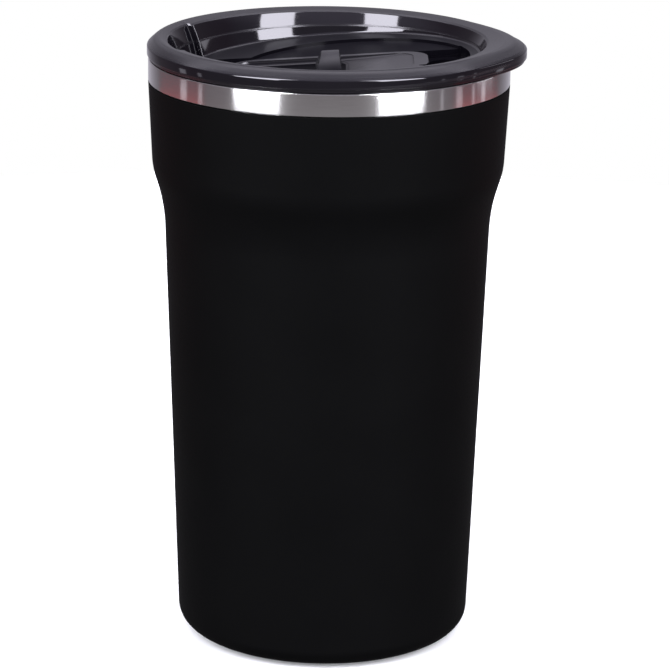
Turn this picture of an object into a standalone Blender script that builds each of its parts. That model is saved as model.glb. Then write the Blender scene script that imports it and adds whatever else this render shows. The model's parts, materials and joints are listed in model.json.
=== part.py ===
"""Insulated tumbler with a slide-open lid.

A double-walled steel cup with a black coated outer shell and a bare steel rim,
and a round push-in plastic lid. The lid has a drinking lip on its edge, a well
whose floor slopes down away from the lip, and a slider with a thumb tab that
uncovers the drinking hole.

Metres, +Z up. The origin is the centre of the foot pad's resting face, and +X
points to the drinking lip. The slider is drawn open.
"""

import math

import bmesh
import bpy
from mathutils import Matrix

# ---- Driving dimensions ------------------------------------------------------

SEGMENTS = 48  # sides of every large round piece
SMALL_SEGMENTS = 20  # sides of every small round piece
ARC_STEPS = 3  # straight pieces in each rounded corner
GAP = 0.0003  # clearance between pieces that touch on the real object
STEEL = 0.0006  # sheet thickness of the shell, the liner and the base

# Outer shell: a nearly straight collar, a shoulder, and a long taper
MOUTH_R = 0.0440
COAT_TOP_Z = 0.1398
SHOULDER_R, SHOULDER_Z, SHOULDER_ROUND = 0.0430, 0.1186, 0.0179
NECK_R, NECK_Z, NECK_ROUND = 0.0401, 0.1094, 0.0422
FOOT_R, FOOT_ROUND = 0.0364, 0.00475
SHELL_BOTTOM_Z = 0.0006
SHELL_HOLE_R = 0.0305

# Inner liner and its rolled rim
RIM_Z = 0.1454
RIM_INNER_ROUND, RIM_OUTER_ROUND = 0.0008, 0.0003
LINER_MOUTH_R = 0.0422
LINER_STRAIGHT_Z = 0.1385
LINER_SHOULDER_R, LINER_NECK_R = 0.0395, 0.0366
LINER_FLOOR_R, LINER_FLOOR_Z, LINER_FLOOR_ROUND = 0.0331, 0.0090, 0.0070

# Base plate, vacuum seal, getter and foot pad
BASE_PLATE_R = 0.0320
DIMPLE_R, DIMPLE_HEIGHT, SEAL_HOLE_R = 0.0070, 0.0018, 0.0012
SEAL_BEAD_R, SEAL_BEAD_HEIGHT = 0.0042, 0.0013
GETTER_X, GETTER_R, GETTER_HEIGHT = 0.0150, 0.0040, 0.0024
CLIP_WIDTH, CLIP_STRIP = 0.0030, 0.0004
FOOT_PAD_R, FOOT_PAD_HEIGHT, FOOT_PAD_CHAMFER = 0.0300, 0.0012, 0.0003

# Lid: flange, skirt and plug
SKIRT_R = 0.0443
SKIRT_STEP = 0.0006  # how far the skirt's lower roll steps in
SKIRT_LOW_Z, SKIRT_TOP_Z, CREST_Z = 0.1464, 0.1490, 0.1505
CREST_R, CREST_EDGE_R, CREST_EDGE_Z = 0.0413, 0.0422, 0.1504
INNER_EDGE_R, INNER_EDGE_Z = 0.0384, 0.1499
PLUG_R, PLUG_BOTTOM_Z, PLUG_WALL = 0.0408, 0.1358, 0.0032
GROOVE_R, GROOVE_LOW_Z, GROOVE_HIGH_Z = 0.0393, 0.1380, 0.1410

# Drinking lip: how far it stands out at +X, and where it has faded away
LIP_REACH = 0.0036
LIP_HALF_ANGLE = math.radians(38)

# Well: its wall, which is steeper below the bend than above it, and its floor,
# which rises towards the lip
WELL_TOP_R, WELL_TOP_Z = 0.0380, 0.1496
WELL_BEND_R, WELL_BEND_Z = 0.0363, 0.1466
FLOOR_R, FLOOR_Z, FLOOR_SLOPE, FLOOR_THICK = 0.0350, 0.1442, 0.072, 0.0042
TRAY_X, TRAY_R, TRAY_DEPTH = 0.0062, 0.0282, 0.0008
CHANNEL_HALF_WIDTH, CHANNEL_END_R, CHANNEL_DEPTH = 0.0114, 0.0347, 0.0019
RELIEF_HALF_ANGLE, RELIEF_R, RELIEF_SINK = math.radians(26), 0.0389, 0.0004
DRINK_HOLE_X, DRINK_HOLE_HALF_X, DRINK_HOLE_HALF_Y = 0.0282, 0.0042, 0.0088
VENT_X, VENT_R = -0.0295, 0.0012

# Slider, at rest in its open place
SLIDER_TRAVEL = 0.0100
SLIDER_LEFT_X, SLIDER_RIGHT_X = -0.0250, 0.0240
SLIDER_HALF_WIDTH, SLIDER_CORNER = 0.0110, 0.0075
TAB_HALF_LENGTH, TAB_HEIGHT = 0.0082, 0.0042
TAB_BASE, TAB_CREST = 0.0062, 0.0044
SCOOP_X, SCOOP_R, SCOOP_DEPTH, SCOOP_HALF_WIDTH = 0.0071, 0.0120, 0.0006, 0.0080
NECK_LENGTH, NECK_WIDTH = 0.0120, 0.0050
KEEPER_LENGTH, KEEPER_WIDTH, KEEPER_THICK = 0.0240, 0.0110, 0.0015
SEAL_LEFT_X, SEAL_RIGHT_X = 0.0125, 0.0231
SEAL_HALF_WIDTH, SEAL_CORNER, SEAL_THICK = 0.0094, 0.0050, 0.0008

# ---- Worked out from the driving dimensions ----------------------------------

FLOOR_TILT = math.atan(FLOOR_SLOPE)
BASE_PLATE_Z = SHELL_BOTTOM_Z + STEEL + GAP
# Heights in the floor's own frame, where 0 is the floor's top face
TRAY_W = -TRAY_DEPTH
CHANNEL_W = TRAY_W - CHANNEL_DEPTH
UNDERSIDE_W = -FLOOR_THICK * math.cos(FLOOR_TILT)
SLIDER_LOW_W = CHANNEL_W + GAP
SLIDER_TOP_W = TRAY_W + GAP
KEEPER_TOP_W = UNDERSIDE_W - GAP
KEEPER_LOW_W = KEEPER_TOP_W - KEEPER_THICK
OVERCUT = 0.0020  # how far a cutter runs past the face that it opens


# ---- Materials ---------------------------------------------------------------

def material(name, colour, roughness, metallic=0.0):
    mat = bpy.data.materials.new(name)
    mat.use_nodes = True
    shader = mat.node_tree.nodes["Principled BSDF"]
    shader.inputs["Base Color"].default_value = (*colour, 1.0)
    shader.inputs["Roughness"].default_value = roughness
    shader.inputs["Metallic"].default_value = metallic
    mat.diffuse_color = (*colour, 1.0)
    return mat


# ---- Mesh helpers ------------------------------------------------------------

def finish(name, bm, mat, parent=None):
    """Turn a bmesh into a smooth-shaded object with its faces pointing out."""
    bmesh.ops.recalc_face_normals(bm, faces=bm.faces)
    mesh = bpy.data.meshes.new(name)
    bm.to_mesh(mesh)
    bm.free()
    mesh.shade_smooth()
    mesh.set_sharp_from_angle(angle=math.radians(30))
    obj = bpy.data.objects.new(name, mesh)
    bpy.context.scene.collection.objects.link(obj)
    if mat:
        obj.data.materials.append(mat)
    if parent:
        obj.parent = parent
    return obj


def rounded(corners):
    """A line through (r, z) or (r, z, radius) corners, with an arc at each radius."""
    points = []
    for i, corner in enumerate(corners):
        if len(corner) == 2:
            points.append((corner[0], corner[1]))
            continue
        here = complex(corner[0], corner[1])
        back = complex(*corners[i - 1][:2]) - here
        ahead = complex(*corners[(i + 1) % len(corners)][:2]) - here
        back, ahead = back / abs(back), ahead / abs(ahead)
        half = math.acos(max(-1.0, min(1.0, (back * ahead.conjugate()).real))) / 2
        reach = corner[2] / math.tan(half)
        middle = here + (back + ahead) / abs(back + ahead) * corner[2] / math.sin(half)
        first = here + back * reach - middle
        turn = (here + ahead * reach - middle) / first
        angle = math.atan2(turn.imag, turn.real)
        for k in range(ARC_STEPS + 1):
            spoke = first * complex(math.cos(angle * k / ARC_STEPS), math.sin(angle * k / ARC_STEPS))
            points.append(((middle + spoke).real, (middle + spoke).imag))
    return points


def turned(name, section, mat, closed=True, sides=SEGMENTS, rule=None, parent=None):
    """Spin an (r, z) section about Z. An open section starts and ends on the axis.

    rule(index, point) moves each spun point, given its place in the section.
    """
    bm = bmesh.new()
    tag = bm.verts.layers.int.new("section")
    verts = [bm.verts.new((r, 0, z)) for r, z in section]
    for i, vert in enumerate(verts):
        vert[tag] = i
    edges = [bm.edges.new(pair) for pair in zip(verts, verts[1:])]
    if closed:
        edges.append(bm.edges.new((verts[-1], verts[0])))
    bmesh.ops.spin(
        bm, geom=verts + edges, cent=(0, 0, 0), axis=(0, 0, 1), angle=2 * math.pi, steps=sides
    )
    bmesh.ops.remove_doubles(bm, verts=bm.verts, dist=1e-6)
    if rule:
        for vert in bm.verts:
            vert.co = rule(vert[tag], vert.co)
    return finish(name, bm, mat, parent)


def prism(name, outline, low, high, mat=None, parent=None, bend=None):
    """A solid with an (x, y) outline, from low to high. bend(point) moves each point."""
    bm = bmesh.new()
    face = bm.faces.new([bm.verts.new((x, y, low)) for x, y in outline])
    grown = bmesh.ops.extrude_face_region(bm, geom=[face])["geom"]
    for vert in grown:
        if isinstance(vert, bmesh.types.BMVert):
            vert.co.z = high
    if bend:
        for vert in bm.verts:
            vert.co = bend(vert.co)
    return finish(name, bm, mat, parent)


def rounded_box_outline(left, right, half_width, corner):
    return rounded([
        (left, -half_width, corner),
        (right, -half_width, corner),
        (right, half_width, corner),
        (left, half_width, corner),
    ])


def circle_outline(x, radius, sides=SEGMENTS):
    turns = [2 * math.pi * k / sides for k in range(sides)]
    return [(x + radius * math.cos(a), radius * math.sin(a)) for a in turns]


def sector_outline(inner, outer, middle, half_angle, steps=8):
    """A piece of a ring, centred on the direction at angle middle."""
    turns = [middle - half_angle + 2 * half_angle * k / steps for k in range(steps + 1)]
    far = [(outer * math.cos(a), outer * math.sin(a)) for a in turns]
    near = [(inner * math.cos(a), inner * math.sin(a)) for a in reversed(turns)]
    return far + near


def boolean(target, other, operation):
    """Cut target with other, or join other to it, and hide other."""
    step = target.modifiers.new(other.name, "BOOLEAN")
    step.operation = operation
    step.solver = "EXACT"
    step.object = other
    other.hide_render = True
    other.display_type = "WIRE"


# ---- Cup ---------------------------------------------------------------------

def shell_line(inset):
    """The shell's side and bottom edge, moved in by inset, from top to bottom."""
    return [
        (MOUTH_R - inset, COAT_TOP_Z),
        (SHOULDER_R - inset, SHOULDER_Z, SHOULDER_ROUND - inset),
        (NECK_R - inset, NECK_Z, NECK_ROUND + inset),
        (FOOT_R - inset, SHELL_BOTTOM_Z + inset, FOOT_ROUND - inset),
        (SHELL_HOLE_R, SHELL_BOTTOM_Z + inset),
    ]


def make_outer_shell(coat):
    section = rounded(shell_line(0)) + rounded(shell_line(STEEL))[::-1]
    return turned("outer_shell", section, coat)


def liner_line(outset):
    """The liner's floor and side, moved out by outset, from the axis to the rim."""
    return rounded([
        (0, LINER_FLOOR_Z - outset),
        (LINER_FLOOR_R + outset, LINER_FLOOR_Z - outset, LINER_FLOOR_ROUND + outset),
        (LINER_NECK_R + outset, NECK_Z, NECK_ROUND - outset),
        (LINER_SHOULDER_R + outset, SHOULDER_Z, SHOULDER_ROUND),
        (LINER_MOUTH_R + outset, LINER_STRAIGHT_Z),
    ])


def make_inner_liner(steel):
    """The inner cup. Its rim rolls over and comes down outside as a bare band."""
    rim = rounded([
        (LINER_MOUTH_R, RIM_Z - 2 * RIM_INNER_ROUND),
        (LINER_MOUTH_R, RIM_Z, RIM_INNER_ROUND),
        (MOUTH_R, RIM_Z, RIM_OUTER_ROUND),
        (MOUTH_R, COAT_TOP_Z + GAP),
        (MOUTH_R - STEEL, COAT_TOP_Z + GAP),
        (MOUTH_R - STEEL, RIM_Z - STEEL),
        (LINER_MOUTH_R + STEEL, RIM_Z - STEEL),
    ])
    section = liner_line(0) + rim + liner_line(STEEL)[::-1]
    return turned("inner_liner", section, steel, closed=False)


def make_outer_base(steel):
    """A plate above the shell's turned-in edge, dimpled up around the vacuum hole."""
    low, high = BASE_PLATE_Z, BASE_PLATE_Z + STEEL
    raised = DIMPLE_R - DIMPLE_HEIGHT / 2
    section = [
        (SEAL_HOLE_R, high + DIMPLE_HEIGHT),
        (raised, high + DIMPLE_HEIGHT),
        (DIMPLE_R, high),
        (BASE_PLATE_R, high),
        (BASE_PLATE_R, low),
        (DIMPLE_R - STEEL / 2, low),
        (raised - STEEL / 2, low + DIMPLE_HEIGHT),
        (SEAL_HOLE_R, low + DIMPLE_HEIGHT),
    ]
    return turned("outer_base", section, steel)


def make_vacuum_seal_bead(glass):
    """The drop of sealing glass in the dimple, under the vacuum hole."""
    top = BASE_PLATE_Z + DIMPLE_HEIGHT - GAP
    section = [
        (0, top),
        (SEAL_BEAD_R, top),
        (SEAL_BEAD_R, top - SEAL_BEAD_HEIGHT / 2),
        (SEAL_BEAD_R * 0.7, top - SEAL_BEAD_HEIGHT),
        (0, top - SEAL_BEAD_HEIGHT),
    ]
    return turned("vacuum_seal_bead", section, glass, closed=False, sides=SMALL_SEGMENTS)


def make_getter(pellet_mat, steel):
    """The gas-absorbing pellet in the vacuum space, and the strip clip over it."""
    low = BASE_PLATE_Z + STEEL + GAP
    outline = circle_outline(GETTER_X, GETTER_R, SMALL_SEGMENTS)
    prism("getter_pellet", outline, low, low + GETTER_HEIGHT, pellet_mat)

    top = low + GETTER_HEIGHT + GAP
    inside = GETTER_R + GAP
    side_view = [
        (-inside - CLIP_STRIP, low),
        (-inside, low),
        (-inside, top),
        (inside, top),
        (inside, low),
        (inside + CLIP_STRIP, low),
        (inside + CLIP_STRIP, top + CLIP_STRIP),
        (-inside - CLIP_STRIP, top + CLIP_STRIP),
    ]
    clip = prism("getter_clip", side_view, -CLIP_WIDTH / 2, CLIP_WIDTH / 2, steel)
    clip.matrix_world = Matrix.Translation((GETTER_X, 0, 0)) @ Matrix.Rotation(math.pi / 2, 4, "X")


def make_foot_pad(silicone):
    section = [
        (0, FOOT_PAD_HEIGHT),
        (FOOT_PAD_R, FOOT_PAD_HEIGHT),
        (FOOT_PAD_R, FOOT_PAD_CHAMFER),
        (FOOT_PAD_R - FOOT_PAD_CHAMFER, 0),
        (0, 0),
    ]
    return turned("foot_pad", section, silicone, closed=False)


# ---- Lid ---------------------------------------------------------------------

def lip_push(x, y):
    """How far the drinking lip stands out in this direction."""
    share = abs(math.atan2(y, x)) / LIP_HALF_ANGLE
    return LIP_REACH * math.cos(math.pi / 2 * min(share, 1.0)) ** 2


# Each corner of the lid's half section: r, z, share of the lip's push, and share
# of the floor's slope. It runs from the floor's centre, over the flange and down
# the plug, to the centre of the floor's underside.
LID_SECTION = [
    (0, FLOOR_Z, 0, 1),
    (FLOOR_R, FLOOR_Z, 0, 1),
    (FLOOR_R + 0.0004, FLOOR_Z + 0.0004, 0, 0.9),
    (WELL_BEND_R, WELL_BEND_Z, 0, 0.4),
    (WELL_TOP_R, WELL_TOP_Z, 0, 0),
    (INNER_EDGE_R, INNER_EDGE_Z, 0, 0),
    (CREST_R, CREST_Z, 0.4, 0),
    (CREST_EDGE_R, CREST_EDGE_Z, 0.8, 0),
    (SKIRT_R - 0.0006, SKIRT_TOP_Z + 0.0007, 1, 0),
    (SKIRT_R - 0.0001, SKIRT_TOP_Z + 0.0001, 1, 0),
    (SKIRT_R, SKIRT_TOP_Z - 0.0002, 1, 0),
    (SKIRT_R, SKIRT_LOW_Z + 0.0002, 1, 0),
    (SKIRT_R - SKIRT_STEP, SKIRT_LOW_Z - 0.0002, 1, 0),
    (SKIRT_R - SKIRT_STEP, RIM_Z + GAP, 1, 0),
    (PLUG_R, RIM_Z + GAP, 0, 0),
    (PLUG_R, GROOVE_HIGH_Z, 0, 0),
    (GROOVE_R, GROOVE_HIGH_Z, 0, 0),
    (GROOVE_R, GROOVE_LOW_Z, 0, 0),
    (PLUG_R, GROOVE_LOW_Z, 0, 0),
    (PLUG_R, PLUG_BOTTOM_Z + 0.0008, 0, 0),
    (PLUG_R - 0.0008, PLUG_BOTTOM_Z, 0, 0),
    (PLUG_R - PLUG_WALL, PLUG_BOTTOM_Z, 0, 0),
    (PLUG_R - PLUG_WALL, FLOOR_Z - FLOOR_THICK, 0, 1),
    (0, FLOOR_Z - FLOOR_THICK, 0, 1),
]


def lid_rule(index, point):
    _, _, lip, slope = LID_SECTION[index]
    radius = math.hypot(point.x, point.y)
    if lip:
        point = point.copy()
        grow = 1 + lip * lip_push(point.x, point.y) / radius
        point.x *= grow
        point.y *= grow
    point.z += slope * FLOOR_SLOPE * point.x
    return point


def channel_outline():
    """A band across the well floor: straight sides, with ends on a circle."""
    end = math.asin(CHANNEL_HALF_WIDTH / CHANNEL_END_R)
    turns = [end * k / 4 for k in range(-4, 5)]
    right = [(CHANNEL_END_R * math.cos(a), CHANNEL_END_R * math.sin(a)) for a in turns]
    return right + [(-x, -y) for x, y in right]


def make_lid_body(plastic, floor_frame):
    lid = turned(
        "lid_body", [corner[:2] for corner in LID_SECTION], plastic, closed=False, rule=lid_rule
    )
    slot = NECK_WIDTH / 2 + GAP

    def wall_relief(point):
        """Keep the cutter's lower face just under the sloping floor."""
        if point.z < FLOOR_Z:
            point.z = FLOOR_Z + FLOOR_SLOPE * point.x - RELIEF_SINK
        return point

    cutters = [
        prism("tray_cut", circle_outline(TRAY_X, TRAY_R), TRAY_W, OVERCUT, parent=floor_frame),
        prism("channel_cut", channel_outline(), CHANNEL_W, OVERCUT, parent=floor_frame),
        prism(
            "drink_hole_cut",
            rounded_box_outline(
                DRINK_HOLE_X - DRINK_HOLE_HALF_X,
                DRINK_HOLE_X + DRINK_HOLE_HALF_X,
                DRINK_HOLE_HALF_Y,
                DRINK_HOLE_HALF_X * 0.98,
            ),
            UNDERSIDE_W - OVERCUT,
            CHANNEL_W + OVERCUT,
            parent=floor_frame,
        ),
        prism(
            "neck_slot_cut",
            [
                (-NECK_LENGTH / 2 - GAP, -slot),
                (NECK_LENGTH / 2 + SLIDER_TRAVEL + GAP, -slot),
                (NECK_LENGTH / 2 + SLIDER_TRAVEL + GAP, slot),
                (-NECK_LENGTH / 2 - GAP, slot),
            ],
            UNDERSIDE_W - OVERCUT,
            CHANNEL_W + OVERCUT,
            parent=floor_frame,
        ),
        prism(
            "vent_cut",
            circle_outline(VENT_X, VENT_R, SMALL_SEGMENTS),
            UNDERSIDE_W - OVERCUT,
            CHANNEL_W + OVERCUT,
            parent=floor_frame,
        ),
        prism(
            "wall_relief_cut",
            sector_outline(FLOOR_R - 0.0006, RELIEF_R, math.pi, RELIEF_HALF_ANGLE),
            FLOOR_Z - OVERCUT,
            CREST_Z + OVERCUT,
            bend=wall_relief,
        ),
    ]
    for cutter in cutters:
        boolean(lid, cutter, "DIFFERENCE")


def make_lid_gasket(silicone):
    """A ring in the plug's groove, with two fins that press on the liner."""
    inside, body, fin = GROOVE_R + GAP, PLUG_R + 0.0002, LINER_MOUTH_R - GAP
    low, high = GROOVE_LOW_Z + GAP, GROOVE_HIGH_Z - GAP
    fin_drop = (high - low) / 4
    section = [
        (inside, high),
        (body, high),
        (fin, high - fin_drop / 2),
        (body, high - fin_drop),
        (body, low + fin_drop),
        (fin, low + fin_drop / 2),
        (body, low),
        (inside, low),
    ]
    return turned("lid_gasket", section, silicone)


# ---- Slider ------------------------------------------------------------------

def tab_point(point):
    """Draft the thumb tab: its sides lean in towards the crest."""
    rise = max(0.0, (point.z - SLIDER_TOP_W) / TAB_HEIGHT)
    point.x *= 1 - rise * (1 - TAB_CREST / TAB_BASE)
    return point


def make_tab(floor_frame):
    """A half-moon ridge across the slider, as an outline in Y and Z made thick in X."""
    bm = bmesh.new()
    buried = SLIDER_TOP_W - 0.0005
    radius = (TAB_HALF_LENGTH**2 + TAB_HEIGHT**2) / (2 * TAB_HEIGHT)
    half_turn = math.asin(TAB_HALF_LENGTH / radius)
    steps = 12
    outline = [(-TAB_HALF_LENGTH, buried), (TAB_HALF_LENGTH, buried)]
    for k in range(steps + 1):
        turn = half_turn * (1 - 2 * k / steps)
        drop = radius * (1 - math.cos(turn))
        outline.append((radius * math.sin(turn), SLIDER_TOP_W + TAB_HEIGHT - drop))
    face = bm.faces.new([bm.verts.new((-TAB_BASE / 2, y, z)) for y, z in outline])
    grown = bmesh.ops.extrude_face_region(bm, geom=[face])["geom"]
    for vert in grown:
        if isinstance(vert, bmesh.types.BMVert):
            vert.co.x = TAB_BASE / 2
    for vert in bm.verts:
        vert.co = tab_point(vert.co)
    return finish("tab_join", bm, None, floor_frame)


def scoop_cutter(name, x, floor_frame):
    """A lying cylinder that hollows the plate beside the tab."""
    bm = bmesh.new()
    bmesh.ops.create_cone(
        bm,
        cap_ends=True,
        segments=SEGMENTS,
        radius1=SCOOP_R,
        radius2=SCOOP_R,
        depth=2 * SCOOP_HALF_WIDTH,
        matrix=Matrix.Translation((x, 0, SLIDER_TOP_W - SCOOP_DEPTH + SCOOP_R))
        @ Matrix.Rotation(math.pi / 2, 4, "X"),
    )
    return finish(name, bm, None, floor_frame)


def make_slider(plastic, floor_frame):
    """The slider's plate, with its thumb tab above and its neck below."""
    slider = prism(
        "slider",
        rounded_box_outline(SLIDER_LEFT_X, SLIDER_RIGHT_X, SLIDER_HALF_WIDTH, SLIDER_CORNER),
        SLIDER_LOW_W,
        SLIDER_TOP_W,
        plastic,
        floor_frame,
    )
    pocket = prism(
        "seal_pocket_cut",
        rounded_box_outline(
            SEAL_LEFT_X - GAP, SEAL_RIGHT_X + GAP, SEAL_HALF_WIDTH + GAP, SEAL_CORNER + GAP
        ),
        SLIDER_LOW_W - OVERCUT,
        SLIDER_LOW_W + SEAL_THICK + GAP,
        parent=floor_frame,
    )
    neck = prism(
        "neck_join",
        [
            (-NECK_LENGTH / 2, -NECK_WIDTH / 2),
            (NECK_LENGTH / 2, -NECK_WIDTH / 2),
            (NECK_LENGTH / 2, NECK_WIDTH / 2),
            (-NECK_LENGTH / 2, NECK_WIDTH / 2),
        ],
        KEEPER_LOW_W,
        SLIDER_LOW_W + 0.0005,
        parent=floor_frame,
    )
    boolean(slider, scoop_cutter("scoop_left_cut", -SCOOP_X, floor_frame), "DIFFERENCE")
    boolean(slider, scoop_cutter("scoop_right_cut", SCOOP_X, floor_frame), "DIFFERENCE")
    boolean(slider, pocket, "DIFFERENCE")
    boolean(slider, make_tab(floor_frame), "UNION")
    boolean(slider, neck, "UNION")


def make_slider_keeper(plastic, floor_frame):
    """The clip under the well floor that holds the slider's neck."""
    keeper = prism(
        "slider_keeper",
        rounded_box_outline(-KEEPER_LENGTH / 2, KEEPER_LENGTH / 2, KEEPER_WIDTH / 2, 0.0020),
        KEEPER_LOW_W,
        KEEPER_TOP_W,
        plastic,
        floor_frame,
    )
    reach_x, reach_y = NECK_LENGTH / 2 + GAP, NECK_WIDTH / 2 + GAP
    hole = prism(
        "keeper_hole_cut",
        [(-reach_x, -reach_y), (reach_x, -reach_y), (reach_x, reach_y), (-reach_x, reach_y)],
        KEEPER_LOW_W - OVERCUT,
        KEEPER_TOP_W + OVERCUT,
        parent=floor_frame,
    )
    boolean(keeper, hole, "DIFFERENCE")


def make_slider_seal(silicone, floor_frame):
    """The pad under the slider's end that closes the drinking hole."""
    prism(
        "slider_seal",
        rounded_box_outline(SEAL_LEFT_X, SEAL_RIGHT_X, SEAL_HALF_WIDTH, SEAL_CORNER),
        SLIDER_LOW_W,
        SLIDER_LOW_W + SEAL_THICK,
        silicone,
        floor_frame,
    )


# ---- Assembly ----------------------------------------------------------------

def main():
    for obj in list(bpy.data.objects):
        bpy.data.objects.remove(obj)

    coat = material("black_coat", (0.010, 0.010, 0.011), 0.55)
    steel = material("steel", (0.56, 0.55, 0.54), 0.32, 1.0)
    lid_plastic = material("lid_plastic", (0.030, 0.028, 0.034), 0.22)
    silicone = material("silicone", (0.045, 0.045, 0.048), 0.65)
    glass = material("seal_glass", (0.22, 0.24, 0.26), 0.15)
    pellet = material("getter_alloy", (0.30, 0.29, 0.28), 0.6, 1.0)

    # The slider runs along this frame's X axis, which follows the well floor
    floor_frame = bpy.data.objects.new("floor_frame", None)
    floor_frame.location = (0, 0, FLOOR_Z)
    floor_frame.rotation_euler = (0, -FLOOR_TILT, 0)
    bpy.context.scene.collection.objects.link(floor_frame)

    make_outer_shell(coat)
    make_inner_liner(steel)
    make_outer_base(steel)
    make_vacuum_seal_bead(glass)
    make_getter(pellet, steel)
    make_foot_pad(silicone)
    make_lid_body(lid_plastic, floor_frame)
    make_lid_gasket(silicone)
    make_slider(lid_plastic, floor_frame)
    make_slider_keeper(lid_plastic, floor_frame)
    make_slider_seal(silicone, floor_frame)


main()
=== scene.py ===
"""Looks of the insulated tumbler: fine surfaces, materials, and a plain pale studio."""

import json
import math

import bmesh
import bpy
from mathutils import Matrix, Vector


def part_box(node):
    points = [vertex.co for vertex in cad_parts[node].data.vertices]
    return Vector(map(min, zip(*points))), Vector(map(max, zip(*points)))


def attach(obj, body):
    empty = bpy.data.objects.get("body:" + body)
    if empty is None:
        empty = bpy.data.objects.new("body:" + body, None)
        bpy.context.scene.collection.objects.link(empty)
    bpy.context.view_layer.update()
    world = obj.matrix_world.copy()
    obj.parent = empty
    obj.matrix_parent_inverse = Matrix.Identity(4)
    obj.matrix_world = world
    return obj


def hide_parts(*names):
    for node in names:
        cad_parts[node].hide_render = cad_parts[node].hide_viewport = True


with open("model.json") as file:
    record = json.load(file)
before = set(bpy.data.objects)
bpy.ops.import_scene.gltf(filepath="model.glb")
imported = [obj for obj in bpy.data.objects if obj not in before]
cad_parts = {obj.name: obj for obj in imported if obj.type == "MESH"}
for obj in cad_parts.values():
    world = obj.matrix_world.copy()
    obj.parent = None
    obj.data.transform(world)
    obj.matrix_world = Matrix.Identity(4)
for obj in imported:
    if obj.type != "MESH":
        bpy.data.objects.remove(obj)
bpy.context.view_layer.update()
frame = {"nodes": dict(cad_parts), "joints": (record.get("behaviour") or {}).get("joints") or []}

# ---- Sizes, in metres: first those that the CAD frame gives -------------------

shell_low, shell_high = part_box("outer_shell")
liner_low, liner_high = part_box("inner_liner")
lid_low, lid_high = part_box("lid_body")
gasket_low, gasket_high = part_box("lid_gasket")
pad_low, pad_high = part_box("foot_pad")

MOUTH_R = shell_high.x
COAT_TOP = shell_high.z
SHELL_BOTTOM = shell_low.z
RIM_TOP = liner_high.z
LINER_BOTTOM = liner_low.z
SKIRT_R = -lid_low.x
CREST_Z = lid_high.z
PLUG_BOTTOM = lid_low.z
LIP_REACH = lid_high.x - SKIRT_R
slide = next(joint for joint in frame["joints"] if joint["name"] == "slider_slide")
FLOOR_SLOPE = slide["axis"][2] / slide["axis"][0]
SLIDER_TRAVEL = slide["range_m"][1]

MM = 0.001
SIDES = 320  # columns of every large round piece
SHARP_ANGLE = math.radians(35)  # edges that turn more than this are shown sharp
STEEL = 0.6 * MM
GAP = 0.3 * MM

# The shell's side: a collar, a shoulder and a long taper. Both are radius, height, rounding
SHOULDER = (43.0 * MM, 118.6 * MM, 17.9 * MM)
NECK = (40.1 * MM, 109.4 * MM, 42.2 * MM)
FOOT_R, FOOT_ROUND = 36.4 * MM, 4.75 * MM
SHELL_HOLE_R = pad_high.x + 0.5 * MM
COAT_EDGE = 0.2 * MM  # the small chamfer where the coat ends

# The liner's inside
LINER_MOUTH_R = gasket_high.x + GAP
LINER_STRAIGHT_Z = 138.5 * MM
LINER_SHOULDER_R, LINER_NECK_R, LINER_FLOOR_R = 39.5 * MM, 36.6 * MM, 33.1 * MM
LINER_FLOOR_ROUND = 7.0 * MM

# The lid
PLUG_R = 40.8 * MM
GROOVE_R = gasket_high.x - 2.6 * MM
FLOOR_Z = 144.2 * MM
FLOOR_THICK = 4.2 * MM
FLOOR_R = 33.2 * MM
LEDGE_Z = 146.5 * MM  # the fine ledge around the well's wall
LEDGE_SLOPE = 0.3  # its share of the floor's slope


# ---- Mesh helpers ------------------------------------------------------------

def rounded(corners, steps=6):
    """A line through (r, z, radius, *rest) corners, with an arc at each radius."""
    points = []
    last = len(corners) - 1
    for i, (r, z, radius, *rest) in enumerate(corners):
        if radius == 0 or i in (0, last):
            points.append((r, z, *rest))
            continue
        here = Vector((r, z))
        back = (Vector(corners[i - 1][:2]) - here).normalized()
        ahead = (Vector(corners[i + 1][:2]) - here).normalized()
        half = back.angle(ahead) / 2
        middle = here + (back + ahead).normalized() * radius / math.sin(half)
        first = here + back * radius / math.tan(half) - middle
        second = here + ahead * radius / math.tan(half) - middle
        turn = first.angle_signed(second)
        for k in range(steps + 1):
            share = k / steps
            spoke = Matrix.Rotation(-turn * share, 2) @ first
            points.append((*(middle + spoke), *rest))
    return points


def to_object(name, bm, mat, body):
    """A smooth-shaded object from a bmesh. It rides on the body, if one is given."""
    bmesh.ops.recalc_face_normals(bm, faces=bm.faces)
    mesh = bpy.data.meshes.new(name)
    bm.to_mesh(mesh)
    bm.free()
    mesh.shade_smooth()
    mesh.set_sharp_from_angle(angle=SHARP_ANGLE)
    obj = bpy.data.objects.new(name, mesh)
    bpy.context.scene.collection.objects.link(obj)
    if mat:
        mesh.materials.append(mat)
    if body:
        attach(obj, body)
    return obj


def even_turns(count=SIDES):
    """Angles all around, evenly apart."""
    return [2 * math.pi * k / count for k in range(count)]


def skin(bm, rings, closed=False):
    """Faces between neighbouring rings. A row that isn't closed is capped at both ends."""
    pairs = list(zip(rings, rings[1:]))
    if closed:
        pairs.append((rings[-1], rings[0]))
    for low, high in pairs:
        for k in range(len(low)):
            after = (k + 1) % len(low)
            bm.faces.new((low[k], low[after], high[after], high[k]))
    if not closed:
        bm.faces.new(rings[0])
        bm.faces.new(rings[-1])


def turned(section, closed=True, turns=None, rule=None):
    """A bmesh spun from an (r, z, ...) section. An open section is capped at both ends.

    rule(angle, r, z, ...) gives a moved (r, z) for one point at one angle.
    """
    turns = turns or even_turns()
    bm = bmesh.new()
    rings = []
    for point in section:
        ring = []
        for angle in turns:
            r, z = rule(angle, *point) if rule else point[:2]
            ring.append(bm.verts.new((r * math.cos(angle), r * math.sin(angle), z)))
        rings.append(ring)
    skin(bm, rings, closed)
    return bm


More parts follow.
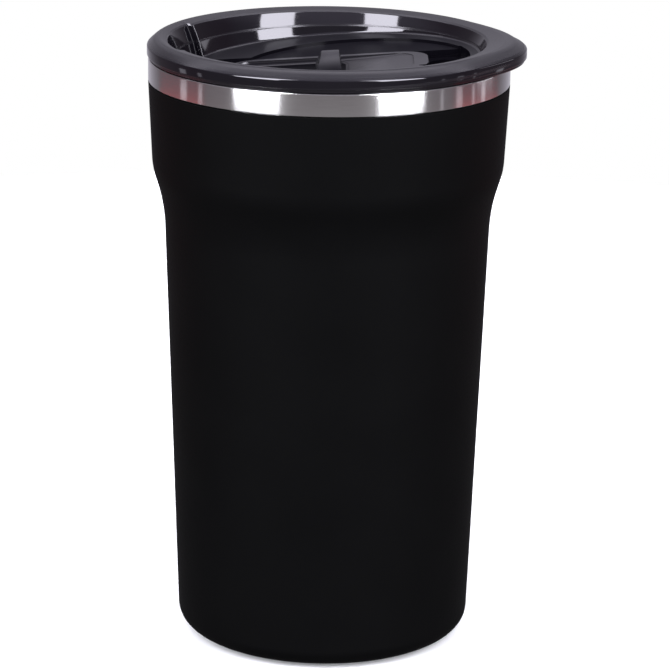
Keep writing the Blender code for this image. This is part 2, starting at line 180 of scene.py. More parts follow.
def prism(outline, low, high):
    """A bmesh solid with an (x, y) outline, from low to high."""
    bm = bmesh.new()
    face = bm.faces.new([bm.verts.new((x, y, low)) for x, y in outline])
    for item in bmesh.ops.extrude_face_region(bm, geom=[face])["geom"]:
        if isinstance(item, bmesh.types.BMVert):
            item.co.z = high
    return bm


def rounded_box(left, right, half_width, corner):
    """The outline of a box with rounded corners, centred on the X axis."""
    steps = 12
    outline = []
    for x, y, start in (
        (right - corner, half_width - corner, 0),
        (left + corner, half_width - corner, 90),
        (left + corner, corner - half_width, 180),
        (right - corner, corner - half_width, 270),
    ):
        for k in range(steps + 1):
            a = math.radians(start + 90 * k / steps)
            outline.append((x + corner * math.cos(a), y + corner * math.sin(a)))
    return outline


def circle(x, radius, count=SIDES):
    """The outline of a circle, centred on the X axis."""
    return [(x + radius * math.cos(a), radius * math.sin(a)) for a in even_turns(count)]


# The well floor's own frame: X runs along the slider's axis, Z stands on the floor
floor_matrix = Matrix.Translation((0, 0, FLOOR_Z)) @ Matrix.Rotation(
    -math.atan(FLOOR_SLOPE), 4, "Y"
)


def apply_modifiers(obj):
    """Replace an object's mesh by its evaluated mesh, and drop its modifiers."""
    graph = bpy.context.evaluated_depsgraph_get()
    mesh = bpy.data.meshes.new_from_object(obj.evaluated_get(graph))
    obj.modifiers.clear()
    obj.data = mesh


def boolean(obj, bm, operation="DIFFERENCE", place=None):
    """Cut obj with a bmesh solid, or join the solid to it."""
    if place:
        bm.transform(place)
    other = to_object("cutter", bm, None, None)
    step = obj.modifiers.new("boolean", "BOOLEAN")
    step.operation = operation
    step.solver = "EXACT"
    step.object = other
    bpy.context.view_layer.update()
    apply_modifiers(obj)
    bpy.data.objects.remove(other)


def round_edges(obj, width, segments, angle):
    """Round the edges that turn more than this angle, in degrees."""
    step = obj.modifiers.new("bevel", "BEVEL")
    step.width = width
    step.segments = segments
    step.limit_method = "ANGLE"
    step.angle_limit = math.radians(angle)
    step.harden_normals = True
    step.use_clamp_overlap = True
    apply_modifiers(obj)


# ---- Materials ---------------------------------------------------------------

class Nodes:
    """A short way to build a node tree."""

    def __init__(self, tree):
        self.tree = tree

    def add(self, kind, **settings):
        node = self.tree.nodes.new(kind)
        for key, value in settings.items():
            setattr(node, key, value)
        return node

    def feed(self, socket, value):
        """Link a socket to the value, if that is a socket too, or else set it."""
        if isinstance(value, bpy.types.NodeSocket):
            self.tree.links.new(value, socket)
        else:
            socket.default_value = value

    def math(self, operation, *values):
        node = self.add("ShaderNodeMath", operation=operation)
        for socket, value in zip(node.inputs, values):
            self.feed(socket, value)
        return node.outputs[0]

    def split(self, vector):
        """The x, y and z of a vector."""
        node = self.add("ShaderNodeSeparateXYZ")
        self.feed(node.inputs[0], vector)
        return node.outputs

    def noise(self, vector, scale, detail=2.0, roughness=0.5):
        node = self.add("ShaderNodeTexNoise")
        self.feed(node.inputs["Vector"], vector)
        self.feed(node.inputs["Scale"], scale)
        self.feed(node.inputs["Detail"], detail)
        self.feed(node.inputs["Roughness"], roughness)
        return node.outputs["Fac"]

    def spread(self, value, low, high, from_low=0.0, from_high=1.0, ease="LINEAR"):
        """Carry a value over from one range to another."""
        node = self.add("ShaderNodeMapRange", interpolation_type=ease)
        self.feed(node.inputs["Value"], value)
        self.feed(node.inputs["From Min"], from_low)
        self.feed(node.inputs["From Max"], from_high)
        self.feed(node.inputs["To Min"], low)
        self.feed(node.inputs["To Max"], high)
        return node.outputs["Result"]

    def mix(self, kind, share, low, high):
        """A blend of two numbers (FLOAT) or two colours (RGBA)."""
        node = self.add("ShaderNodeMix", data_type=kind)
        self.feed(node.inputs["Factor"], share)
        self.feed(node.inputs["A"], low)
        self.feed(node.inputs["B"], high)
        return node.outputs["Result"]

    def colours(self, share, low, high):
        return self.mix("RGBA", share, (*low, 1), (*high, 1))

    def ramp(self, value, stops):
        """Colours over a value from 0 to 1, as (value, colour) stops."""
        node = self.add("ShaderNodeValToRGB")
        self.feed(node.inputs[0], value)
        elements = node.color_ramp.elements
        for element, (place, colour) in zip(elements, (stops[0], stops[-1])):
            element.position = place
            element.color = (*colour, 1)
        for place, colour in stops[1:-1]:
            elements.new(place).color = (*colour, 1)
        return node.outputs[0]

    def profile(self, value, stops):
        """A value from 0 to 1 that follows (input, output) stops in straight lines."""
        first, last = stops[0][0], stops[-1][0]
        shares = [((place - first) / (last - first), (level,) * 3) for place, level in stops]
        return self.ramp(self.spread(value, 0.0, 1.0, first, last), shares)

    def bump(self, height, distance, strength):
        node = self.add("ShaderNodeBump")
        self.feed(node.inputs["Strength"], strength)
        self.feed(node.inputs["Distance"], distance)
        self.feed(node.inputs["Height"], height)
        return node.outputs["Normal"]

    def glow(self, colour, strength=1.0):
        node = self.add("ShaderNodeEmission")
        self.feed(node.inputs["Color"], colour)
        self.feed(node.inputs["Strength"], strength)
        return node.outputs[0]

    def end_by_ray(self, output, seen, reflected):
        """Show one shader to the camera, and the other one to every other ray."""
        path = self.add("ShaderNodeLightPath")
        node = self.add("ShaderNodeMixShader")
        self.feed(node.inputs[0], path.outputs["Is Camera Ray"])
        self.feed(node.inputs[1], reflected)
        self.feed(node.inputs[2], seen)
        self.feed(output.inputs[0], node.outputs[0])


class Material(Nodes):
    """The nodes of a new material."""

    def __init__(self, name):
        self.mat = bpy.data.materials.new(name)
        self.mat.use_nodes = True
        super().__init__(self.mat.node_tree)
        self.shader = self.tree.nodes["Principled BSDF"]
        self.output = self.tree.nodes["Material Output"]
        self.place = self.add("ShaderNodeTexCoord").outputs["Object"]

    def set(self, **inputs):
        for key, value in inputs.items():
            self.feed(self.shader.inputs[key.replace("_", " ")], value)

    def lid_height(self, slope_share=1.0):
        """Height in the lid, less a share of the well floor's slope."""
        x, _, z = self.split(self.place)
        return self.math("SUBTRACT", z, self.math("MULTIPLY", x, FLOOR_SLOPE * slope_share))


def powder_coat():
    """Matte black coat: fine orange-peel grain and faint cloudy gloss."""
    n = Material("black_powder_coat")
    grain = n.noise(n.place, 1500, 3)
    speckle = n.noise(n.place, 4200, 1)
    cloud = n.noise(n.place, 60, 2)
    height = n.math("ADD", grain, n.math("MULTIPLY", speckle, 0.5))
    n.set(
        Base_Color=n.colours(cloud, (0.0011, 0.0011, 0.0012), (0.0017, 0.0017, 0.0018)),
        Roughness=n.spread(grain, 0.50, 0.66),
        Specular_IOR_Level=0.024,
        Normal=n.bump(height, 0.00003, 0.5),
    )
    return n.mat


def brushed_steel():
    """Bare steel brushed around the cup's axis."""
    n = Material("brushed_steel")
    x, y, z = n.split(n.place)
    angle = n.math("ARCTAN2", y, x)
    around = n.add("ShaderNodeCombineXYZ")
    n.feed(around.inputs[0], n.math("MULTIPLY", angle, 1.2))
    n.feed(around.inputs[1], n.math("MULTIPLY", z, 900.0))
    lines = n.noise(around.outputs[0], 6, 6, 0.7)
    cloud = n.noise(n.place, 90, 3)
    tangent = n.add("ShaderNodeTangent", direction_type="RADIAL", axis="Z")
    n.set(
        Base_Color=n.colours(lines, (0.56, 0.55, 0.545), (0.70, 0.69, 0.68)),
        Metallic=1.0,
        Roughness=n.math("ADD", n.spread(lines, 0.15, 0.21), n.spread(cloud, -0.015, 0.015)),
        Anisotropic=1.0,
        Anisotropic_Rotation=0.25,
        Tangent=tangent.outputs[0],
        Normal=n.bump(lines, 0.000002, 0.6),
    )
    return n.mat


FULL = 0.53  # the plastic's refractive index, less 1
# Refractive index less 1, by millimetres over the well floor: low faces are duller
LID_FINISH = [(-0.8, 0.045), (-0.6, 0.045), (-0.2, 0.18), (0.05, 0.18), (0.5, FULL)]
SLIDER_FINISH = [(-1.6, 0.05), (-1.45, 0.05), (-1.3, FULL)]


def lid_plastic(name, finish, side_gloss, bead_z=0.0, slope_loss=0.0):
    """Smoke-black moulded plastic: satin where it faces up, glossier on its sides.

    bead_z is the height of a duller line around the well's wall, and slope_loss is the
    refractive index that sloping faces lose.
    """
    n = Material(name)
    geometry = n.add("ShaderNodeNewGeometry")
    upward = n.split(geometry.outputs["Normal"])[2]
    height = n.lid_height()
    flat = n.spread(upward, 0.0, 1.0, 0.64, 0.80)
    level = n.spread(upward, 0.0, 1.0, 0.955, 0.985)
    stops = [(FLOOR_Z + z * MM, value) for z, value in finish]
    excess = n.math("MULTIPLY", level, n.math("SUBTRACT", n.profile(height, stops), FULL))
    slopes = [(0.3, 0.0), (0.5, slope_loss), (0.7, slope_loss * 0.9), (0.97, 0.0)]
    loss = n.profile(upward, slopes)
    bead = n.math("COMPARE", n.lid_height(LEDGE_SLOPE), bead_z, 0.30 * MM)
    fine = n.noise(n.place, 2600, 2)
    flow = n.noise(n.place, 70, 3)
    gloss = n.spread(flow, side_gloss - 0.02, side_gloss + 0.02)
    side = n.math("ADD", gloss, n.math("MULTIPLY", bead, 0.16))
    grain = n.math("MULTIPLY", n.math("MULTIPLY", fine, flat), 0.35)
    # Painted light: up-facing faces in the band around the well floor get the lighter tone below, a
    # painted lift for the light that falls on them
    painted_light_band = n.math("COMPARE", height, FLOOR_Z - 0.4 * MM, 0.8 * MM)
    dark = n.colours(flow, (0.0016, 0.0014, 0.0023), (0.0025, 0.0022, 0.0034))
    light = n.colours(flow, (0.0040, 0.0037, 0.0050), (0.0054, 0.0050, 0.0068))
    n.set(
        # the darker tone is the plastic's own colour; the lighter tone on level well-floor faces is
        # painted light
        Base_Color=n.mix("RGBA", n.math("MULTIPLY", level, painted_light_band), dark, light),
        Roughness=n.mix("FLOAT", flat, side, n.spread(fine, 0.36, 0.44)),
        IOR=n.math("ADD", n.math("SUBTRACT", excess, loss), 1 + FULL),
        Specular_Tint=(0.97, 0.94, 1.0, 1.0),
        Normal=n.bump(n.math("ADD", grain, flow), 0.00001, 0.35),
    )
    return n.mat


def silicone(name, dark, light):
    """Soft matte rubber."""
    n = Material(name)
    fine = n.noise(n.place, 2200, 3)
    cloud = n.noise(n.place, 120, 2)
    n.set(
        Base_Color=n.colours(cloud, dark, light),
        Roughness=n.spread(fine, 0.55, 0.75),
        Specular_IOR_Level=0.35,
        Sheen_Weight=0.15,
        Normal=n.bump(fine, 0.00003, 0.4),
    )
    return n.mat


def plain_parts(name, dark, light, roughness, metallic):
    """A granular finish for the small pieces sealed inside."""
    n = Material(name)
    grain = n.noise(n.place, 1800, 4)
    n.set(
        Base_Color=n.colours(grain, dark, light),
        Roughness=n.spread(grain, roughness - 0.08, roughness + 0.08),
        Metallic=metallic,
        Normal=n.bump(grain, 0.00004, 0.5),
    )
    return n.mat


# ---- Cup ---------------------------------------------------------------------

def shell_line(inset):
    """The shell's side from the mouth down, moved in by the inset."""
    return [
        (MOUTH_R - inset, COAT_TOP, 0),
        (SHOULDER[0] - inset, SHOULDER[1], SHOULDER[2] - inset),
        (NECK[0] - inset, NECK[1], NECK[2] + inset),
        (FOOT_R - inset, SHELL_BOTTOM + inset, FOOT_ROUND - inset),
        (SHELL_HOLE_R, SHELL_BOTTOM + inset, 0),
    ]


def make_shell(mat):
    outer = rounded(shell_line(0), 12)
    outer[0] = (MOUTH_R, COAT_TOP - COAT_EDGE)
    inner = rounded(shell_line(STEEL), 12)
    section = [(MOUTH_R - COAT_EDGE, COAT_TOP)] + outer + inner[::-1]
    shell = to_object("coated_shell", turned(section), mat, "tumbler")
    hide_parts("outer_shell")


def liner_line(outset):
    """The liner's side from the middle of its floor up, moved out by the outset."""
    floor = LINER_BOTTOM + STEEL - outset
    return [
        (0.5 * MM, floor, 0),
        (LINER_FLOOR_R + outset, floor, LINER_FLOOR_ROUND + outset),
        (LINER_NECK_R + outset, NECK[1], NECK[2] - outset),
        (LINER_SHOULDER_R + outset, SHOULDER[1], SHOULDER[2]),
        (LINER_MOUTH_R + outset, LINER_STRAIGHT_Z, 0),
    ]


def make_liner(mat):
    """The inner cup, with its rim rolled over into the bare steel band."""
    rim = rounded([
        (LINER_MOUTH_R, RIM_TOP - 2 * MM, 0),
        (LINER_MOUTH_R, RIM_TOP, 0.8 * MM),
        (MOUTH_R, RIM_TOP, 0.28 * MM),
        (MOUTH_R, COAT_TOP + GAP, 0.1 * MM),
        (MOUTH_R - STEEL, COAT_TOP + GAP, 0),
        (MOUTH_R - STEEL, RIM_TOP - STEEL, 0),
        (LINER_MOUTH_R + STEEL, RIM_TOP - STEEL, 0),
    ], 8)
    section = rounded(liner_line(0), 12) + rim + rounded(liner_line(STEEL), 12)[::-1]
    liner = to_object("steel_liner", turned(section, closed=False), mat, "tumbler")
    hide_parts("inner_liner")


def make_foot_pad(mat):
    """The silicone pad: a rounded disc with moulded rings underneath."""
    low, high, radius = pad_low.z, pad_high.z, pad_high.x
    section = [(0.5 * MM, high, 0), (radius, high, 0.2 * MM), (radius, low, 0.4 * MM)]
    ring_gap, groove, depth = 4 * MM, 0.5 * MM, 0.35 * MM
    r = radius - 2 * MM
    while r > 3 * MM:
        section += [
            (r, low, 0.1 * MM),
            (r - 0.2 * MM, low + depth, 0),
            (r - 0.2 * MM - groove, low + depth, 0),
            (r - 0.4 * MM - groove, low, 0.1 * MM),
        ]
        r -= ring_gap
    section.append((0.5 * MM, low, 0))
    pad = to_object("foot_pad_ringed", turned(rounded(section, 3), closed=False), mat, "tumbler")
    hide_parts("foot_pad")


# ---- Lid ---------------------------------------------------------------------

LIP_HALF_ANGLE = math.radians(38)
RELIEF_HALF_ANGLE = math.radians(26)
RELIEF_FADE = math.radians(0.5)
RELIEF_DEPTH = 1.25 * MM
RIDGE_HALF_ANGLE, RIDGE_HEIGHT = math.radians(0.55), 0.32 * MM
WALL_LEAN = 0.30  # how fast the well's wall widens with height


def smooth(value):
    """Ease a value from 0 to 1."""
    value = max(0.0, min(1.0, value))
    return value * value * (3 - 2 * value)


def lip_push(angle):
    """How far the drinking lip stands out at this angle."""
    share = min(abs(angle) / LIP_HALF_ANGLE, 1.0)
    return LIP_REACH * math.cos(math.pi / 2 * share) ** 2


def relief_share(angle):
    """1 in the part of the wall opposite the lip that stands back, 0 elsewhere."""
    away = math.pi - abs(angle)
    return smooth((RELIEF_HALF_ANGLE - away) / RELIEF_FADE + 0.5)


def ridge_share(angle):
    """1 on the two upright ridges beside the relief, fading to 0 on either side."""
    away = math.pi - abs(angle) - RELIEF_HALF_ANGLE - RIDGE_HALF_ANGLE
    return math.cos(math.pi / 2 * min(abs(away) / RIDGE_HALF_ANGLE, 1.0)) ** 2


def lid_rule(angle, r, z, lip, slope, relief):
    """Where a point of the lid's section lies at one angle, by its three shares."""
    angle = math.remainder(angle, 2 * math.pi)
    r += lip * lip_push(angle) - relief * ridge_share(angle) * RIDGE_HEIGHT
    r += relief * relief_share(angle) * RELIEF_DEPTH
    r += relief * slope * WALL_LEAN * FLOOR_SLOPE * r * math.cos(angle)
    return r, z + slope * FLOOR_SLOPE * r * math.cos(angle)


def lid_turns():
    """Even columns, with close ones where the wall relief starts and ends."""
    turns = set(even_turns())
    for side in (-1, 1):
        middle = math.pi + side * RELIEF_HALF_ANGLE
        reach = RELIEF_FADE + 2 * RIDGE_HALF_ANGLE
        turns = {a for a in turns if abs(a - middle) > reach}
        turns |= {middle + reach * k / 30 for k in range(-30, 31)}
    return sorted(turns)


def lid_section():
    """Corners as r, z, round, then shares of lip push, floor slope and wall relief."""
    skirt_low = 146.4 * MM
    skirt_top = 148.5 * MM
    step_r = SKIRT_R - 0.5 * MM
    seat = RIM_TOP + 0.1 * MM
    groove_low, groove_high = gasket_low.z - GAP, gasket_high.z + GAP
    well = [
        (FLOOR_R, FLOOR_Z, 0, 0, 1, 0),
        (35.95 * MM, FLOOR_Z, 0.8 * MM, 0, 1, 1),
        (36.50 * MM, LEDGE_Z - 0.12 * MM, 0.06 * MM, 0, LEDGE_SLOPE, 1),
        (36.62 * MM, LEDGE_Z + 0.03 * MM, 0.10 * MM, 0, LEDGE_SLOPE, 1),
        (36.66 * MM, LEDGE_Z + 0.18 * MM, 0.06 * MM, 0, LEDGE_SLOPE, 1),
        (37.20 * MM, 147.85 * MM, 0, 0, 0, 1),
        (38.05 * MM, 149.6 * MM, 0.3 * MM, 0, 0, 1),
        (38.6 * MM, CREST_Z - 0.5 * MM, 0.5 * MM, 0, 0, 0.9),
    ]
    flange = [
        (41.2 * MM, CREST_Z, 3 * MM, 0.35, 0, 0),
        (42.2 * MM, CREST_Z - 0.12 * MM, 3 * MM, 0.8, 0, 0),
        (SKIRT_R - 0.64 * MM, skirt_top + 0.58 * MM, 1.5 * MM, 1, 0, 0),
        (SKIRT_R, skirt_top, 0.45 * MM, 1, 0, 0),
        (SKIRT_R, skirt_low, 0.15 * MM, 1, 0, 0),
        (step_r, skirt_low - 0.15 * MM, 0.1 * MM, 1, 0, 0),
        (step_r, seat, 0.25 * MM, 1, 0, 0),
    ]
    plug_inner_r = PLUG_R - 3.2 * MM
    plug = [
        (PLUG_R, seat, 0.1 * MM, 0, 0, 0),
        (PLUG_R, groove_high, 0.1 * MM, 0, 0, 0),
        (GROOVE_R, groove_high, 0.1 * MM, 0, 0, 0),
        (GROOVE_R, groove_low, 0.1 * MM, 0, 0, 0),
        (PLUG_R, groove_low, 0.1 * MM, 0, 0, 0),
        (PLUG_R, PLUG_BOTTOM, 0.7 * MM, 0, 0, 0),
        (plug_inner_r, PLUG_BOTTOM, 0.4 * MM, 0, 0, 0),
        (plug_inner_r, FLOOR_Z - FLOOR_THICK, 0.8 * MM, 0, 1, 0),
        (FLOOR_R - 1 * MM, FLOOR_Z - FLOOR_THICK, 0, 0, 1, 0),
    ]
    return rounded(well + flange + plug, 5)


# Heights over the well's floor, square to it
TRAY_W = -0.8 * MM
CHANNEL_W = TRAY_W - 1.9 * MM
CHANNEL_HALF_WIDTH = 11.4 * MM


def channel_outline():
    """The slider's channel: straight sides, and ends that follow the well's wall."""
    end_r = 34.25 * MM
    end = math.asin(CHANNEL_HALF_WIDTH / end_r)
    turns = [end * k / 24 for k in range(-24, 25)]
    right = [(end_r * math.cos(a), end_r * math.sin(a)) for a in turns]
    return right + [(-x, -y) for x, y in right]


def make_lid(mat):
    bm = turned(lid_section(), closed=False, turns=lid_turns(), rule=lid_rule)
    lid = to_object("lid_moulding", bm, mat, "lid")
    over, under = 1 * MM, -FLOOR_THICK - 1 * MM
    tray = circle(6.2 * MM, 28.0 * MM)
    drinking_hole = rounded_box(24.0 * MM, 32.4 * MM, 8.8 * MM, 4.15 * MM)
    neck_slot = rounded_box(-6.3 * MM, 6.3 * MM + SLIDER_TRAVEL, 2.8 * MM, 0.5 * MM)
    vent_hole = circle(-29.5 * MM, 1.2 * MM, 32)
    cuts = [
        (tray, TRAY_W, over),
        (channel_outline(), CHANNEL_W, over),
        (drinking_hole, under, over),
        (neck_slot, under, over),
        (vent_hole, under, over),
    ]
    for outline, low, high in cuts:
        boolean(lid, prism(outline, low, high), place=floor_matrix)
    round_edges(lid, 0.18 * MM, 2, 50)
    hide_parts("lid_body")


def make_gasket(mat):
    low, high = gasket_low.z, gasket_high.z
    inside, body, fin = GROOVE_R + GAP, PLUG_R + 0.2 * MM, gasket_high.x
    drop = (high - low) / 4
    section = rounded([
        (inside, (low + high) / 2, 0),
        (inside, high, 0.1 * MM),
        (body, high, 0.1 * MM),
        (fin, high - drop / 2, 0.12 * MM),
        (body, high - drop, 0.1 * MM),
        (body, low + drop, 0.1 * MM),
        (fin, low + drop / 2, 0.12 * MM),
        (body, low, 0.1 * MM),
        (inside, low, 0),
    ], 4)
    gasket = to_object("gasket_ring", turned(section), mat, "seal_ring")
    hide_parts("lid_gasket")


# ---- Slider ------------------------------------------------------------------

SLIDER_LOW, SLIDER_TOP = CHANNEL_W + GAP, TRAY_W + GAP
TAB_HALF_LENGTH = 8.6 * MM
TAB_HEIGHT = 3.3 * MM  # above the slider's top
TAB_SINK = 1.6 * MM  # how far the tab's foot reaches below the slider's top
TAB_LEFT = (-3.7 * MM, -1.9 * MM)  # at the foot and at the crest
TAB_RIGHT = (2.9 * MM, 2.6 * MM)


def tab_row(rise):
    """The tab's section where it rises this far over its foot, with a soft crest."""
    share = rise / (TAB_HEIGHT + TAB_SINK)
    left = TAB_LEFT[0] + share * (TAB_LEFT[1] - TAB_LEFT[0])
    right = TAB_RIGHT[0] + share * (TAB_RIGHT[1] - TAB_RIGHT[0])
    soft = 0.07 * rise
    return [
        (TAB_LEFT[0], 0),
        (left, rise - soft),
        (left + soft * 0.3, rise - soft * 0.3),
        (left + soft, rise),
        (right - soft, rise),
        (right - soft * 0.3, rise - soft * 0.3),
        (right, rise - soft),
        (TAB_RIGHT[0], 0),
    ]


def tab_bmesh():
    """The thumb tab: a ridge across the slider whose crest is an arc of a circle."""
    steps = 64
    full_rise = TAB_HEIGHT + TAB_SINK
    arc_r = (TAB_HALF_LENGTH ** 2 + full_rise ** 2) / (2 * full_rise)
    end = math.asin(TAB_HALF_LENGTH / arc_r)
    foot = SLIDER_TOP - TAB_SINK
    bm = bmesh.new()
    rows = []
    for k in range(steps + 1):
        turn = end * (2 * k / steps - 1)
        rise = max(arc_r * math.cos(turn) - arc_r + full_rise, 0.02 * MM)
        y = arc_r * math.sin(turn)
        rows.append([bm.verts.new((x, y, foot + z)) for x, z in tab_row(rise)])
    skin(bm, rows)
    return bm


SLIDER_LEFT, SLIDER_RIGHT = -25.0 * MM, 24.0 * MM
SLIDER_HALF_WIDTH, SLIDER_CORNER = 11.0 * MM, 7.5 * MM
DISH_HALF_WIDTH, DISH_CORNER, DISH_WALL = 9.1 * MM, 4.5 * MM, 1.5 * MM
# Each dish as left end, right end, depth at the left and depth at the right
RIGHT_DISH = (-3.0 * MM, 20.5 * MM, 1.3046 * MM, 0.25 * MM)
LEFT_DISH = (-23.6 * MM, 5.2 * MM, 1.3 * MM, 1.3 * MM)
NOTCH_Y = -7.2 * MM


def dish_bmesh(left, right, left_depth, right_depth):
    """A hollow in the slider's top with rounded-in walls."""
    steps = 8
    bm = bmesh.new()
    rings = []
    for k in range(-1, steps + 1):
        turn = math.pi / 2 * max(k, 0) / steps
        inset = DISH_WALL * (1 - math.cos(turn))
        outline = rounded_box(
            left + inset, right - inset, DISH_HALF_WIDTH - inset, DISH_CORNER - inset * 0.9
        )
        ring = []
        for x, y in outline:
            depth = left_depth + (right_depth - left_depth) * (x - left) / (right - left)
            z = MM if k < 0 else -depth * math.sin(turn)
            ring.append(bm.verts.new((x, y, SLIDER_TOP + z)))
        rings.append(ring)
    skin(bm, rings)
    return bm


def notch_bmesh():
    """The small slot in the slider's right end."""
    outline = rounded_box(SLIDER_RIGHT - 2.4 * MM, SLIDER_RIGHT, 0.4 * MM, 0.35 * MM)
    bm = prism(outline, SLIDER_TOP - 0.5 * MM, 0)
    bm.transform(Matrix.Translation((0, NOTCH_Y, 0)))
    return bm


def seal_pocket_bmesh():
    """The hollow under the slider that holds its seal."""
    outline = rounded_box(12.2 * MM, 23.4 * MM, 9.7 * MM, 5.3 * MM)
    return prism(outline, SLIDER_LOW - MM, SLIDER_LOW + 1.1 * MM)


def neck_bmesh():
    """The neck that reaches through the lid's floor to the keeper."""
    low = -FLOOR_THICK * math.cos(math.atan(FLOOR_SLOPE)) - GAP - 1.5 * MM
    outline = rounded_box(-6 * MM, 6 * MM, 2.5 * MM, 0.4 * MM)
    return prism(outline, low, SLIDER_LOW + 0.5 * MM)


def make_slider(mat):
    outline = rounded_box(SLIDER_LEFT, SLIDER_RIGHT, SLIDER_HALF_WIDTH, SLIDER_CORNER)
    slider = to_object("slider_plate", prism(outline, SLIDER_LOW, SLIDER_TOP), mat, None)
    for cut in (dish_bmesh(*RIGHT_DISH), dish_bmesh(*LEFT_DISH), notch_bmesh()):
        boolean(slider, cut)
    boolean(slider, tab_bmesh(), "UNION")
    boolean(slider, seal_pocket_bmesh())
    boolean(slider, neck_bmesh(), "UNION")
    round_edges(slider, 0.08 * MM, 2, 45)
    slider.data.transform(floor_matrix)
    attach(slider, "slider_unit")
    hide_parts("slider")


# ---- Studio ------------------------------------------------------------------

# Distance and height in metres, angles in radians, lens in millimetres
CAMERA = {
    "distance": 17.2824 * MOUTH_R,
    "height": COAT_TOP + 3.5391 * MOUTH_R,
    "pitch": 0.2820,
    "yaw": -0.0030,
    "roll": 0.0140,
    "lens": 170.8,
}


def make_camera():
    data = bpy.data.cameras.new("camera")
    data.sensor_width = 36
    data.lens = CAMERA["lens"]
    camera = bpy.data.objects.new("camera", data)
    bpy.context.scene.collection.objects.link(camera)
    camera.matrix_world = (
        Matrix.Translation((0, -CAMERA["distance"], CAMERA["height"]))
        @ Matrix.Rotation(CAMERA["yaw"], 4, "Z")
        @ Matrix.Rotation(math.pi / 2 - CAMERA["pitch"], 4, "X")
        @ Matrix.Rotation(CAMERA["roll"], 4, "Z")
    )
    bpy.context.scene.camera = camera


def glowing_panel(name, corners, colour, strength):
    """A lit panel that the camera cannot see, given by its corners."""
    mesh = bpy.data.meshes.new(name)
    mesh.from_pydata(corners, [], [tuple(range(len(corners)))])
    n = Material(name)
    n.feed(n.output.inputs[0], n.glow((*colour, 1), strength))
    mesh.materials.append(n.mat)
    panel = bpy.data.objects.new(name, mesh)
    bpy.context.scene.collection.objects.link(panel)
    panel.visible_camera = False


def spot(azimuth, elevation, distance):
    """A place seen from the lid. Azimuth 0 is the camera's side, 90 is +X."""
    a, e = math.radians(azimuth), math.radians(elevation)
    across = distance * math.cos(e)
    return (across * math.sin(a), -across * math.cos(a), RIM_TOP + distance * math.sin(e))


def standing_panel(name, azimuths, low, high, distance, colour, strength):
    """A vertical panel between two azimuths."""
    feet = [spot(a, 0, distance) for a in azimuths]
    corners = [(x, y, low) for x, y, _ in feet] + [(x, y, high) for x, y, _ in feet[::-1]]
    glowing_panel(name, corners, colour, strength)


def dome_panel(name, azimuths, elevations, distance, colour, strength):
    """A panel between two azimuths and two elevations."""
    low, high = elevations
    corners = [spot(a, low, distance) for a in azimuths]
    corners += [spot(a, high, distance) for a in azimuths[::-1]]
    glowing_panel(name, corners, colour, strength)


# Colours that the cup reflects, as (degrees of azimuth from the camera's side, colour)
HORIZON = [
    (0, (0.23, 0.215, 0.23)),
    (30, (0.22, 0.205, 0.22)),
    (80, (0.19, 0.17, 0.19)),
    (90, (0.16, 0.12, 0.14)),
    (134, (0.16, 0.14, 0.16)),
    (150, (0.34, 0.32, 0.37)),
    (164, (0.50, 0.48, 0.55)),
    (175, (0.58, 0.56, 0.64)),
]
# Cards that seem to lie on the studio floor, in the same form
FLOOR_CARDS = [
    (0, (0.36, 0.35, 0.37)),
    (40, (0.28, 0.26, 0.28)),
    (82, (0.25, 0.20, 0.21)),
    (88, (0.78, 0.15, 0.16)),
    (132, (0.78, 0.15, 0.16)),
    (138, (0.30, 0.29, 0.31)),
]
FLOOR_NEAR = (0.29, 0.275, 0.29)  # the floor's reflected colour from nearer than the reach
CARD_REACH = 0.34  # metres: only longer reflected rays meet the cards
FLOOR_DISC_R = 0.5  # metres
ZENITH = (0.64, 0.61, 0.72)
ZENITH_RISE = (25, 43)  # degrees of elevation over which the horizon turns into the zenith
COOL_WHITE, LAVENDER = (0.93, 0.94, 1.0), (0.93, 0.91, 1.0)
SOFTBOX_EDGES = (31, 60.5)  # degrees of azimuth, on either side
# Small bright cards near the floor, as (azimuth, width) in degrees
LOW_CARDS = [(-100, 6), (-84.5, 3), (72, 2), (86, 5), (99, 2), (109.5, 4)]


def azimuth_colour(n, x, y, stops):
    """Colours around the cup by azimuth, the same on the left and on the right."""
    azimuth = n.math("ARCTAN2", n.math("ABSOLUTE", x), n.math("MULTIPLY", y, -1.0))
    shares = [(degrees / 180, colour) for degrees, colour in stops]
    return n.ramp(n.math("DIVIDE", azimuth, math.pi), shares)


def make_world():
    """White to the camera. Reflections see a grey back, dim sides and a dim front."""
    world = bpy.data.worlds.new("studio")
    world.use_nodes = True
    bpy.context.scene.world = world
    n = Nodes(world.node_tree)
    n.tree.nodes.clear()
    x, y, z = n.split(n.add("ShaderNodeTexCoord").outputs["Generated"])
    limits = [math.sin(math.radians(degrees)) for degrees in ZENITH_RISE]
    rise = n.spread(z, 0.0, 1.0, *limits, ease="SMOOTHSTEP")
    sky = n.mix("RGBA", rise, azimuth_colour(n, x, y, HORIZON), (*ZENITH, 1))
    reflected, white = n.add("ShaderNodeBackground"), n.add("ShaderNodeBackground")
    n.feed(reflected.inputs[0], sky)
    n.feed(white.inputs[0], (1, 1, 1, 1))
    n.end_by_ray(n.add("ShaderNodeOutputWorld"), white.outputs[0], reflected.outputs[0])


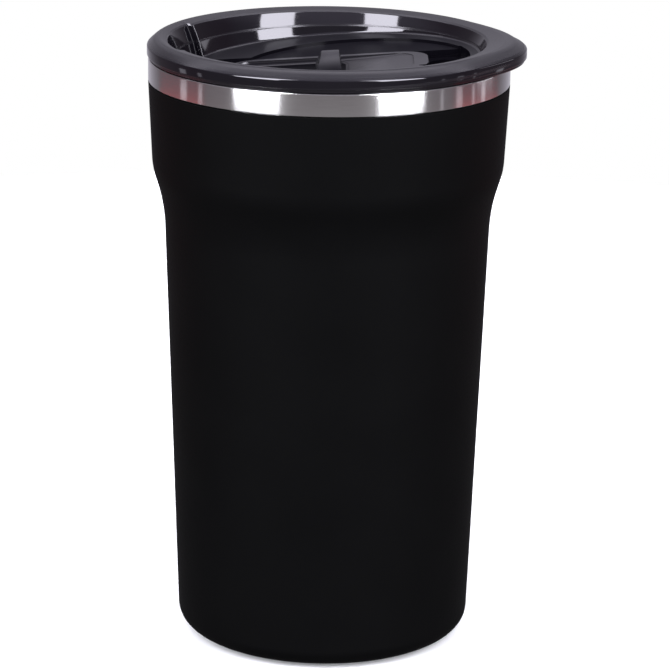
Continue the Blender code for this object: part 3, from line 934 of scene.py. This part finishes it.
def make_lights():
    """Two tall softboxes, a panel overhead behind the cup, and small cards."""
    for side in (-1, 1):
        edges = [side * degrees for degrees in SOFTBOX_EDGES]
        standing_panel(
            f"softbox{side}", edges, low=0.0, high=5.5, distance=2.6, colour=COOL_WHITE, strength=17
        )
    dome_panel("overhead", [118, 242], [34, 70], distance=1.4, colour=LAVENDER, strength=3.1)
    dome_panel("side_card", [104, 122], [-2, 9], distance=1.2, colour=LAVENDER, strength=1.9)
    for k, (azimuth, width) in enumerate(LOW_CARDS):
        edges = [azimuth - width / 2, azimuth + width / 2]
        dome_panel(
            f"low_card{k}", edges, [-14, -10], distance=0.44, colour=LAVENDER, strength=1.5
        )


def make_floor():
    """A pale floor. Reflections in the cup see dim cards lying on it instead."""
    n = Material("pale_floor")
    cloud = n.noise(n.place, 6, 2)
    n.set(Base_Color=n.colours(cloud, (0.80, 0.80, 0.80), (0.84, 0.84, 0.84)), Roughness=0.7)
    x, y, _ = n.split(n.place)
    length = n.add("ShaderNodeLightPath").outputs["Ray Length"]
    far = n.math("GREATER_THAN", length, CARD_REACH)
    cards = n.mix("RGBA", far, (*FLOOR_NEAR, 1), azimuth_colour(n, x, y, FLOOR_CARDS))
    n.end_by_ray(n.output, n.shader.outputs[0], n.glow(cards))
    section = [(FLOOR_DISC_R, -0.3 * MM), (FLOOR_DISC_R, -2 * MM)]
    floor = to_object("floor", turned(section, closed=False), n.mat, None)


def main():
    steel = brushed_steel()
    plastic = lid_plastic("lid_plastic", LID_FINISH, side_gloss=0.07, bead_z=LEDGE_Z)
    slider_plastic = lid_plastic(
        "slider_plastic", SLIDER_FINISH, side_gloss=0.26, slope_loss=0.36
    )
    rubber = silicone("black_silicone", (0.012, 0.012, 0.013), (0.020, 0.020, 0.021))
    make_shell(powder_coat())
    make_liner(steel)
    make_foot_pad(rubber)
    make_lid(plastic)
    make_gasket(rubber)
    make_slider(slider_plastic)

    glass = plain_parts(
        "solder_glass", (0.10, 0.11, 0.12), (0.2, 0.21, 0.23), roughness=0.2, metallic=0
    )
    alloy = plain_parts(
        "getter_alloy", (0.16, 0.15, 0.15), (0.3, 0.29, 0.28), roughness=0.6, metallic=0.8
    )
    finishes = {
        "outer_base": steel,
        "getter_clip": steel,
        "slider_keeper": plastic,
        "slider_seal": rubber,
        "vacuum_seal_bead": glass,
        "getter_pellet": alloy,
    }
    for node, mat in finishes.items():
        mesh = frame["nodes"][node].data
        mesh.materials.clear()
        mesh.materials.append(mat)

    make_camera()
    make_world()
    make_floor()
    make_lights()
    bpy.context.scene.view_settings.view_transform = "Standard"


main()
